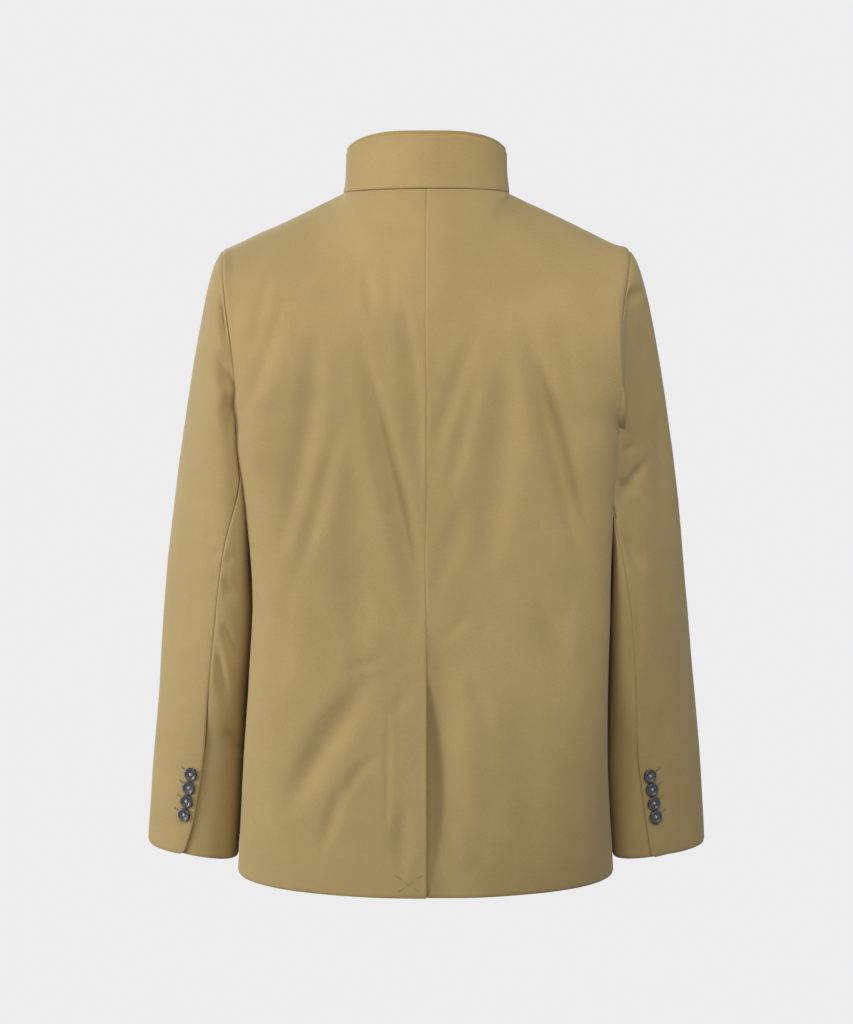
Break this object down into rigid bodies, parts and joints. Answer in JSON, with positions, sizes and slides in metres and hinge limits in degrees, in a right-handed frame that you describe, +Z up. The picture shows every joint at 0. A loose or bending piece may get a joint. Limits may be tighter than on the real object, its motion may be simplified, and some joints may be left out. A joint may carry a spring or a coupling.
{
  "type": "stand-collar blazer",
  "caption": "Hollow, worn-shape single-breasted blazer in cotton twill with a stand collar, centre back vent and vented, buttoned cuffs.",
  "frame": {"origin": "middle of the neckline, level with the neck ends of the shoulder seams, in the plane of the centre back and centre front", "axes": "+Z up through the collar, +X towards the wearer's left arm, +Y out of the wearer's back; the front faces -Y"},
  "size_m": [0.6051, 0.2661, 0.7842],
  "materials": {
    "body_cloth": "khaki cotton twill, fine weave with a soft sheen",
    "sleeve_cloth": "khaki cotton twill, fine weave with a soft sheen",
    "collar_cloth": "khaki cotton twill over a firm interlining",
    "collar_facing": "khaki cotton twill, edge rolled over the collar's top",
    "cuff_buttons": "dark blue-black polyester horn imitation, four holes, polished rim",
    "front_buttons": "dark blue-black polyester horn imitation, four holes, polished rim"
  },
  "bodies": {
    "root": {"back_left": "body_cloth", "back_right": "body_cloth", "front_left": "body_cloth", "front_right": "body_cloth", "upper_sleeve_left": "sleeve_cloth", "under_sleeve_left": "sleeve_cloth", "upper_sleeve_right": "sleeve_cloth", "under_sleeve_right": "sleeve_cloth", "collar_outer": "collar_cloth", "collar_inner": "collar_facing", "cuff_button_left_1": "cuff_buttons", "cuff_button_left_2": "cuff_buttons", "cuff_button_left_3": "cuff_buttons", "cuff_button_left_4": "cuff_buttons", "cuff_button_right_1": "cuff_buttons", "cuff_button_right_2": "cuff_buttons", "cuff_button_right_3": "cuff_buttons", "cuff_button_right_4": "cuff_buttons", "front_button_1": "front_buttons", "front_button_2": "front_buttons", "front_button_3": "front_buttons", "front_button_4": "front_buttons", "front_button_5": "front_buttons"}
  },
  "joints": []
}
